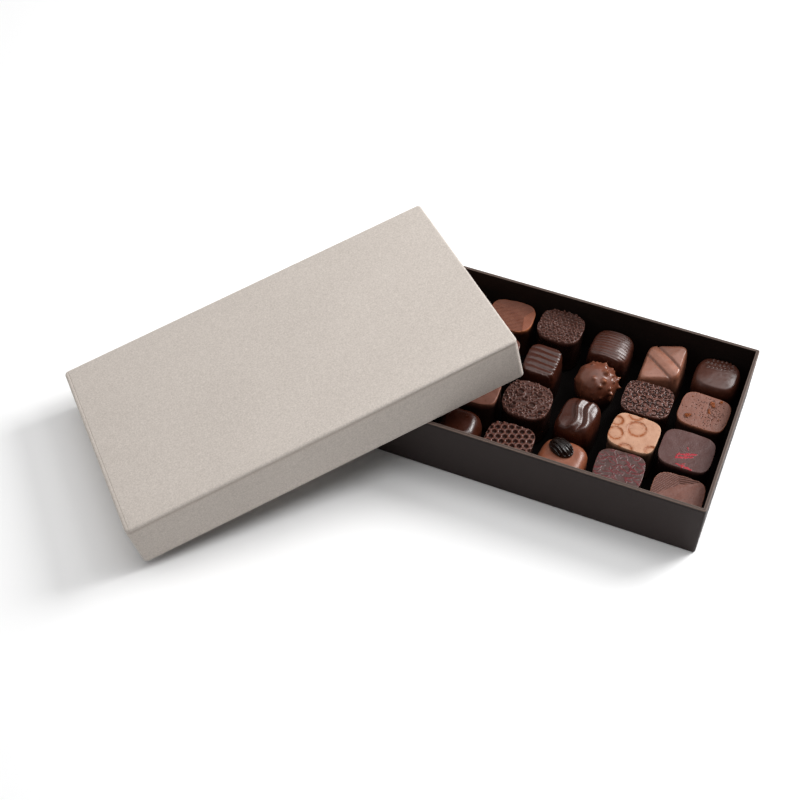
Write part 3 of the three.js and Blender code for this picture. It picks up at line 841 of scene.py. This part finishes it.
def streaked(x, y, size, seed):
    v = streakedTop
    mask = 0 * x
    wobble = 1.1 * cloudAt(x, y, 0.9, seed)
    for startX, startY, endX, endY, half in v["strokes"]:
        runX, runY = endX - startX, endY - startY
        share = np.clip(((x - startX) * runX + (y - startY) * runY) / (runX**2 + runY**2), 0, 1)
        away = np.hypot(x - startX - share * runX, y - startY - share * runY)
        taper = half * (0.35 + 0.65 * np.sin(math.pi * (0.08 + 0.84 * share)))
        mask = np.maximum(mask, 1 - blendIn(0.5, 1.1, away / taper + wobble))
    depth, often = v["dimples"]
    dimples = depth * np.sin(x * often) * np.sin(y * often) * np.exp(-((x + 1) ** 2 + (y + 1) ** 2) / 20)
    return v["height"] * mask + dimples + 0.04 * cloudAt(x, y, 0.7, seed), mask


# Printed circles, a little sunk, with a patchy line
printedTop = {
    "circles": (  # x, y, radius
        (0.4, 3.2, 5.3), (-9.5, -4.2, 4.6), (-11.4, 4.3, 3.6),
        (-3.4, 12.6, 4.4), (-0.8, -12.6, 3.9), (12.2, -8.0, 3.4),
    ),
    "line": 0.95,
    "depth": 0.3,
}


def printed(x, y, size, seed):
    v = printedTop
    high = 0 * x
    mask = 0 * x
    patch = np.clip(0.75 + 1.3 * cloudAt(x, y, 3.0, seed) + 0.9 * cloudAt(x, y, 0.9, seed), 0.3, 1)
    for spot in v["circles"]:
        away = np.hypot(x - spot[0], y - spot[1])
        inside = 1 - blendIn(spot[2] - 0.5, spot[2] + 0.1, away)
        high = np.minimum(high, -v["depth"] * inside)
        ring = bell((away - spot[2] + 0.4) / v["line"])
        mask = np.maximum(mask, 1.15 * patch * ring + 0.12 * inside)
    return high, mask


# A honeycomb of pits
pittedTop = {"pitch": 3.8, "turn": 19.7, "wall": (0.15, 0.85), "depth": 1.6}
rowHeight = math.sqrt(0.75)  # of rows of hexagons, against their pitch


def pitted(x, y, size, seed):
    v = pittedTop
    along, across = turned(x / v["pitch"], y / v["pitch"], math.radians(v["turn"]))
    across = across / rowHeight
    best = np.full_like(x, 9.0)
    for row in (np.floor(across), np.ceil(across)):  # rows of pits, every second one half a pitch on
        offset = along - 0.5 * (row % 2)
        stepX = (offset - np.round(offset)) * 2
        stepY = (across - row) * 2 * rowHeight
        reach = np.abs(stepX)
        for side in (-1, 1):
            reach = np.maximum(reach, np.abs(0.5 * stepX + side * rowHeight * stepY))
        best = np.minimum(best, reach)  # 0 in the middle of a pit, 1 on the ridge between two
    pit = 1 - blendIn(*v["wall"], best)
    return -v["depth"] * pit + 0.06 * cloudAt(x, y, 1.2, seed), 0


def plain(x, y, size, seed):
    return 0.12 * cloudAt(x, y, 5.0, seed) + 0.03 * cloudAt(x, y, 1.1, seed), 0


# Rows of small pearls
pearledTop = {
    "rows": ((9.7, 5, -4.6, 5.0), (6.4, 7, -7.6, 6.6), (3.1, 7, -6.6, 7.6)),  # y, count, first and last x
    "half": 1.05, "width": 0.72, "turn": 0.9, "bow": 0.022, "slant": 0.2, "height": 0.85,
}


def pearled(x, y, size, seed):
    v = pearledTop
    high = 0 * x
    for row, count, start, end in v["rows"]:
        for index in range(count):
            atX = start + (end - start) * index / (count - 1)
            spot = (atX, row + v["bow"] * atX**2 + v["slant"] * atX)
            high = np.maximum(high, dashAt(x, y, spot, v["turn"], v["half"], v["width"]))
    return v["height"] * high, 0


# Round ridges from side to side, fainter on the left
ridgedTop = {"ridges": 5, "depth": 1.2, "reach": 0.84, "valley": 0.2, "least": 0.3}


def ridged(x, y, size, seed):
    v = ridgedTop
    share = y / (v["reach"] * size[1]) + 0.5 + 0.02 * np.sin(x / 4)
    wave = np.sin(np.clip(share, 0, 1) * v["ridges"] * math.pi)
    wave = np.hypot(wave, v["valley"]) / math.hypot(1, v["valley"])
    wave = np.where((share > 0.03) & (share < 0.97), wave, 1)
    fade = v["least"] + (1 - v["least"]) * blendIn(-0.45, 0.25, x / size[0])
    return -v["depth"] * fade * (1 - wave**0.7), 0


# Fine uneven cuts over a top that droops to both sides
slottedTop = {"slots": 11, "depth": 0.5, "half": 0.3, "droop": 3.6}


def slotted(x, y, size, seed):
    v = slottedTop
    source = random.Random(seed)
    high = 0 * x
    sway = 0.3 * cloudAt(x, np.zeros_like(y), 9.0, seed)
    for index in range(v["slots"]):
        place = 1 - (1 - (index + 0.5) / v["slots"]) ** 1.25  # closer towards the back
        at = size[1] * (0.92 * place - 0.46) + source.uniform(-0.25, 0.25)
        deep = v["depth"] * source.uniform(0.4, 1.0)
        high = high - deep * bell((y - at - sway) / v["half"])
    return high - v["droop"] * (2 * x / size[0]) ** 2, 0


# Two rolls in an S, each with a soft back and a steep flank to the right
wavedTop = {"waves": (-0.8, 5.0), "sway": 1.5, "height": 1.9, "back": 2.0, "flank": 2.8, "reach": 0.42}


def waved(x, y, size, seed):
    v = wavedTop
    share = y / (v["reach"] * size[1])
    fade = 1 - blendIn(0.8, 1.2, np.abs(share))
    high = 0 * x
    for at in v["waves"]:
        away = x - at - v["sway"] * np.sin((share + 1) * math.pi)
        high = np.maximum(high, bell(away / np.where(away < 0, v["back"], v["flank"])))
    return v["height"] * (high - 0.25) * fade, 0


# A raised band from corner to corner; the whole praline leans and tapers
bandedTop = {
    "turn": 48.0, "half": 4.0, "depth": 0.95, "line": 0.5,
    "rise": 11.0, "taper": 0.12, "shear": 0.16,
}


def banded(x, y, size, seed):
    v = bandedTop
    across = turned(x, y, math.radians(v["turn"]))[0]
    high = 0 * x
    for side in (-1, 1):
        away = across - side * v["half"]
        step = np.where(away * side > 0, 0.45 * np.exp(-np.abs(away) / 2.2), 0)
        high = high - v["depth"] * bell(away / v["line"]) - step
    return high + 0.45 * bell(across / 2.4), 0


# Outlines from the middle of the top to the foot: share of the half width, and millimetres up
def flatOutline(height, v):
    lip, waist = v["lip"], v["waist"]
    return [
        (0, height), (0.9, height), (0.98, height - 0.05), (1, height - lip * 0.6),
        (0.992, height - lip * 1.3), (waist + 0.01, height - lip * 2.1), (waist, height - 4),
        (waist, 4), (waist + 0.012, 1.4), (0.985, 0),
    ]


def softOutline(height, v):
    roll, crown, inner = v["roll"], v["crown"], v["inner"]
    line = [(inner * part, height - crown * (inner * part) ** 2) for part in (0, 0.3, 0.6, 0.85)]
    for step in range(7):
        angle = math.pi / 2 * (1 - step / 6)
        share = inner + (0.985 - inner) * math.cos(angle)
        line.append((share, height - crown * share**2 - roll + roll * math.sin(angle)))
    return line + [(1, 3.2), (1, 1.2), (0.985, 0)]


def blockOutline(height, v):
    top, crown = v["top"], v["crown"]
    return [
        (0, height), (0.55 * top, height - 0.15), (0.86 * top, height - crown * 0.6),
        (top, height - crown - 0.8), (top + 0.35 * (1 - top), height * 0.6), (1, 3), (1, 1.2), (0.985, 0),
    ]


# Outline, corner of the superellipse, mesh, and for the finish: which relief counts as ground, how dark the
# painted shade in hollows is, and how far below the top the painted shade on the side begins and is full
everyShape = {
    "finish": "darkMatte", "relief": plain, "ground": 0.0, "hollow": 0.0, "sideTone": 0.9, "uneven": 0.14,
    "turn": 0,
}
flatShape = {
    **everyShape, "outline": flatOutline, "corner": 4.0, "segments": 116, "topShare": 0.8, "lip": 0.62,
    "waist": 0.952, "fade": (0.95, 1.0), "uneven": 0.16, "hollow": 1.0, "edge": 0.8, "side": (0.7, 4.0),
}
roundShape = {**everyShape, "topShare": 0.0, "edge": 0.15, "side": (6.5, 15.0)}
softShape = {
    **roundShape, "outline": softOutline, "corner": 3.1, "segments": 120, "roll": 9.0, "crown": 1.2,
    "inner": 0.52,
}
blockShape = {
    **roundShape, "outline": blockOutline, "corner": 4.4, "segments": 150, "top": 0.86, "crown": 1.6,
    "uneven": 0.2,
}
kinds = {
    "stippled": {**flatShape, "relief": stippled, "segments": 180, "ground": 0.5, "hollow": 0.7},
    "ringed": {**flatShape, "relief": ringed, "segments": 180},
    "bubbled": {**flatShape, "relief": bubbled, "segments": 180, "ground": 0.3},
    "marbled": {**flatShape, "relief": marbled, "segments": 150},
    "hatched": {**flatShape, "relief": hatched, "segments": 190},
    "crumbed": {**flatShape, "relief": crumbed, "segments": 180},
    "streaked": {**flatShape, "relief": streaked, "segments": 140},
    "printed": {**flatShape, "relief": printed, "segments": 150, "hollow": 0.0},
    "pitted": {**flatShape, "relief": pitted, "segments": 190, "hollow": 0.9},
    "plain": {**flatShape, "segments": 90},
    "pillow": softShape,
    "pearled": {**softShape, "relief": pearled, "segments": 200, "roll": 6.6, "inner": 0.78, "crown": 1.9},
    "waved": {**softShape, "relief": waved, "corner": 4.0, "roll": 6.0, "inner": 0.74, "segments": 180},
    "banded": {
        **softShape, "relief": banded, "corner": 6.0, "roll": 3.0, "crown": 0.5, "inner": 0.84,
        "segments": 160, "hollow": 0.5,
    },
    "ridged": {**blockShape, "relief": ridged, "top": 0.9, "crown": 0.7, "segments": 170},
    "slotted": {**blockShape, "relief": slotted, "top": 0.94, "crown": 0.8, "segments": 190},
}

# Where each praline stands comes from its solid; height, width and depth only where its box has more in it.
# Finish and shape are given where they differ from the kind's.
pralines = {
    "pearled_c1r1": {"finish": "darkCoating", "height": 24.2},
    "crumbed_c1r2": {"finish": "caramelChips", "height": 22.6, "turn": -2},
    "streaked_c1r3": {"finish": "raspberry", "turn": -1},
    "hatched_c1r4": {"finish": "hatchedMilk", "turn": 2},
    "banded_c2r1": {"finish": "foldedMilk", "height": 22.6, "turn": 9, "width": 25.5, "depth": 26.0},
    "ringed_c2r2": {"turn": 1},
    "printed_c2r3": {"finish": "blonde", "turn": -3},
    "marbled_c2r4": {"finish": "marbled", "turn": 3},
    "slotted_c3r1": {"finish": "darkCoating", "turn": -3, "height": 25.0},
    "waved_c3r3": {"finish": "deepCoating", "height": 23.0, "turn": -4, "width": 22.4, "depth": 27.0},
    "pillow_c3r4": {"finish": "warmMilk", "turn": -3, "roll": 5.0, "inner": 0.64, "crown": 0.6},
    "stippled_c4r1": {"turn": -2, "corner": 3.0},
    "ridged_c4r2": {"finish": "deepCoating", "turn": 1},
    "bubbled_c4r3": {"corner": 2.8},
    "pitted_c4r4": {"turn": 1},
    "hatched_c5r1": {"finish": "amberMilk", "turn": 4, "corner": 3.2, "layout": "back"},
    "plain_c5r2": {"turn": -3},
    "plain_c5r3": {"finish": "milkMatte", "turn": 5},
    "pillow_c5r4": {"finish": "deepCoating", "turn": 2},
    "plain_c6r1": {"finish": "blonde"},
    "pillow_c6r2": {"finish": "milkCoating", "roll": 4.0, "inner": 0.78},
    "marbled_c6r3": {"finish": "marbled"},
    "crumbed_c6r4": {"finish": "caramelChips", "height": 22.6},
    "ringed_c7r1": {},
    "hatched_c7r2": {"finish": "milkMatte"},
    "pillow_c7r3": {"finish": "darkCoating"},
    "ridged_c7r4": {"finish": "darkCoating"},
}
# Where relief and masks begin and end, in millimetres unless noted
moulding = {
    "edgeAt": 0.965,  # share of the half width where a flat top ends
    "upperPart": (0.35, 0.7),  # shares of the height over which relief comes in on round shapes
    "bulge": 1.3,  # unevenness of the sides against that of the top
    "hollowDepth": 0.6,  # below the ground, for the full painted shade of a hollow
    "hollowMost": 0.8,
    "crestHeight": 0.3,  # above the ground, for the full painted highlight on a crest
    "crestMost": 0.6,
    "accentFrom": (1.6, 0.9),  # below the top
    "edgeFrom": (3, 0.8),
    "edgeShares": (0.93, 0.985),  # of the half width
}


# Vertices take points in millimetres, turned about the middle of the node's box and standing on its base
def standPoints(bm, node, x, y, z, degrees=0.0):
    low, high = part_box(node)
    middle = (low + high) / 2
    x, y = turned(x, y, -math.radians(degrees))
    for vert, point in zip(bm.verts, zip(middle.x + mm * x, middle.y + mm * y, low.z + mm * z)):
        vert.co = point


# Masks for the finish: painted shade on the sides and in hollows, a paler edge that is partly a painted
# highlight, a painted highlight on crests, and the accent on top
def pralineMasks(piece, v, share, z, relief, fade, accent):
    height = v["height"]
    hollow = np.clip((v["ground"] - relief) / moulding["hollowDepth"], 0, moulding["hollowMost"])
    upper, edge = ([height - below for below in moulding[name]] for name in ("accentFrom", "edgeFrom"))
    # A warmer thin lip, partly a painted highlight; on crests the edge tone is a painted highlight
    rim = blendIn(*moulding["edgeShares"], share) * blendIn(*edge, z)
    crestHighlight = 0
    if v["ground"]:
        crestHighlight = moulding["crestMost"] * np.clip((relief - v["ground"]) / moulding["crestHeight"], 0, 1) * fade
    # The side mask is painted shade, darker from below the top down to the foot
    setMasks(
        piece,
        side=v["sideTone"] * blendIn(*v["side"], height - z),
        hollow=hollow * fade * v["hollow"],
        edge=np.maximum(v["edge"] * rim, crestHighlight),
        accent=accent * blendIn(*upper, z),
    )


def makePraline(node, changes, seed):
    low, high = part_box(node)
    box = (high - low) / mm
    values = {"width": box.x, "depth": box.y, "height": box.z, **kinds[node.split("_")[0]], **changes}
    width, depth, height, corner = values["width"], values["depth"], values["height"], values["corner"]
    bm = bmesh.new()
    bmesh.ops.create_grid(bm, x_segments=values["segments"], y_segments=values["segments"], size=1)
    square = np.array([vert.co for vert in bm.verts])
    ring = np.abs(square).max(axis=1)  # 0 in the middle of the top, 1 at the foot
    around = np.arctan2(square[:, 1], square[:, 0])
    outline = softened(values["outline"](height, values))
    steps = np.hypot(np.diff(outline[:, 0]) * width / 2, np.diff(outline[:, 1]))
    run = np.concatenate(([0], np.cumsum(steps)))
    place = ring * run[-1]
    if values["topShare"]:
        half = len(outline) // 2
        edge = np.interp(moulding["edgeAt"], outline[:half, 0], run[:half])
        place = np.interp(ring, (0, values["topShare"], 1), (0, edge, run[-1]))
    share = np.interp(place, run, outline[:, 0])
    z = np.interp(place, run, outline[:, 1])
    cos, sin = np.cos(around), np.sin(around)
    stretch = (np.abs(cos) ** corner + np.abs(sin) ** corner) ** (-1 / corner)
    x = share * stretch * cos * width / 2
    y = share * stretch * sin * depth / 2
    layout = [values["layout"]] if "layout" in values else []
    relief, accent = values["relief"](x, y, (width, depth), seed, *layout)
    top = blendIn(*moulding["upperPart"], z / height)
    fade = top
    if values["topShare"]:
        lip = values["lip"]
        fade = (1 - blendIn(*values["fade"], share)) * blendIn(1.6 * lip, 0.8 * lip, height - z)
    uneven = values["uneven"] * (cloudAt(x, y, 7.0, seed + 11, z) + 0.5 * cloudAt(x, y, 2.6, seed + 13, z))
    z = np.maximum(z + relief * fade + uneven * top, 0)
    grow = 1 + moulding["bulge"] * uneven * blendIn(0.5, 1.0, share) / (width / 2)
    x, y = x * grow, y * grow
    if values["relief"] is banded:
        rise = z / height
        z = z + rise**2 * bandedTop["rise"] * (x + y) / (width + depth)
        x = (x + bandedTop["shear"] * y) * (1 - bandedTop["taper"] * rise)
        y = y * (1 - bandedTop["taper"] * rise)
    standPoints(bm, node, x, y, z, values["turn"])
    bmesh.ops.contextual_create(bm, geom=[edge for edge in bm.edges if edge.is_boundary])
    bmesh.ops.recalc_face_normals(bm, faces=bm.faces)
    piece = addPiece(node + "_fine", bm, finishes[values["finish"]])
    pralineMasks(piece, values, share, z, relief, fade, accent)
    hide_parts(node)


for index, (node, changes) in enumerate(pralines.items()):
    makePraline(node, changes, index + 1)
print("moulded pralines made")

# Round praline with soft thorns
thornedPraline = {
    "node": "thorned_c3r2", "width": 24.4, "depth": 24.0, "height": 27.4, "waist": 0.56,
    "thorns": 40, "seed": 11, "length": 3.0, "spread": 0.19, "strongSide": (0.85, 0.3, 0.25), "lumps": 0.75,
}


def makeThorned(values):
    bm = bmesh.new()
    bmesh.ops.create_icosphere(bm, subdivisions=6, radius=1)
    out = np.array([vert.co for vert in bm.verts])
    source = random.Random(values["seed"])
    golden = math.pi * (3 - math.sqrt(5))
    spikes = np.zeros(len(out))
    for index in range(values["thorns"]):
        up = 0.93 - 1.05 * index / values["thorns"]
        around = index * golden + 0.5 * (source.random() - 0.5)
        level = math.sqrt(1 - up * up)
        direction = np.array((level * math.cos(around), level * math.sin(around), up))
        angle = np.arccos(np.clip(out @ direction, -1, 1))
        reach = np.clip(1 - angle / (values["spread"] * source.uniform(0.75, 1.25)), 0, 1)
        strong = 0.1 + 0.9 * blendIn(-0.35, 0.55, float(direction @ np.array(values["strongSide"])))
        spikes = np.maximum(spikes, strong * source.uniform(0.35, 1.0) * reach**2)
    x, y, z = out[:, 0] * values["width"] / 2, out[:, 1] * values["depth"] / 2, out[:, 2]
    lumps = values["lumps"] * cloudAt(x, y, 5.5, 3, 10 * z)
    grow = 1 + (lumps + values["length"] * spikes) / (values["width"] / 2)
    middle = values["height"] * values["waist"]
    up = np.where(z > 0, (values["height"] - middle) * z, 1.45 * middle * z)
    z = np.maximum(middle + up * grow, 0)
    standPoints(bm, values["node"], x * grow, y * grow, z)
    piece = addPiece(values["node"] + "_fine", bm, finishes["milkCoating"])
    # Painted shade on the lower part, darker towards the bottom
    side = 0.9 * blendIn(0.75, 0.25, z / values["height"])
    setMasks(piece, side=side, hollow=0, edge=0, accent=0.9 * spikes**1.5)
    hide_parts(values["node"])


makeThorned(thornedPraline)

# Coffee bean: half an egg with a bent slit and wrinkles along it
coffeeBean = {
    "node": "coffee_bean", "length": 14.8, "width": 10.8, "height": 5.0, "turn": -24.0,
    "slit": 1.0, "slitHalf": 0.45, "wrinkles": 1.3, "wrinklePitch": 1.7,
    "base": 0.12,  # how much of the rounded underside is left
}


def makeBean(values):
    bm = bmesh.new()
    bmesh.ops.create_icosphere(bm, subdivisions=5, radius=1)
    out = np.array([vert.co for vert in bm.verts])
    x, y, z = out[:, 0] * values["length"] / 2, out[:, 1] * values["width"] / 2, out[:, 2]
    bend = 0.5 * np.sin(x / values["length"] * 2 * math.pi)
    across = y + bend
    top = blendIn(0.1, 0.5, z)
    slit = bell(across / values["slitHalf"])
    wrinkle = np.cos(across * 2 * math.pi / values["wrinklePitch"] + 0.8 * cloudAt(x, y, 4.0, 21))
    sink = values["slit"] * slit + values["wrinkles"] * (0.5 - 0.5 * wrinkle) * (1 - slit)
    high = np.where(z > 0, values["height"] * z, 0.9 * z)
    high = np.maximum(high - sink * top, -values["base"]) + values["base"]
    standPoints(bm, values["node"], x, y, high, values["turn"])
    piece = addPiece(values["node"] + "_fine", bm, finishes["bean"])
    # Painted shade in the slit
    setMasks(piece, side=0, hollow=0.7 * slit * top, edge=0, accent=0)
    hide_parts(values["node"])


makeBean(coffeeBean)
print("thorned praline and coffee bean made")
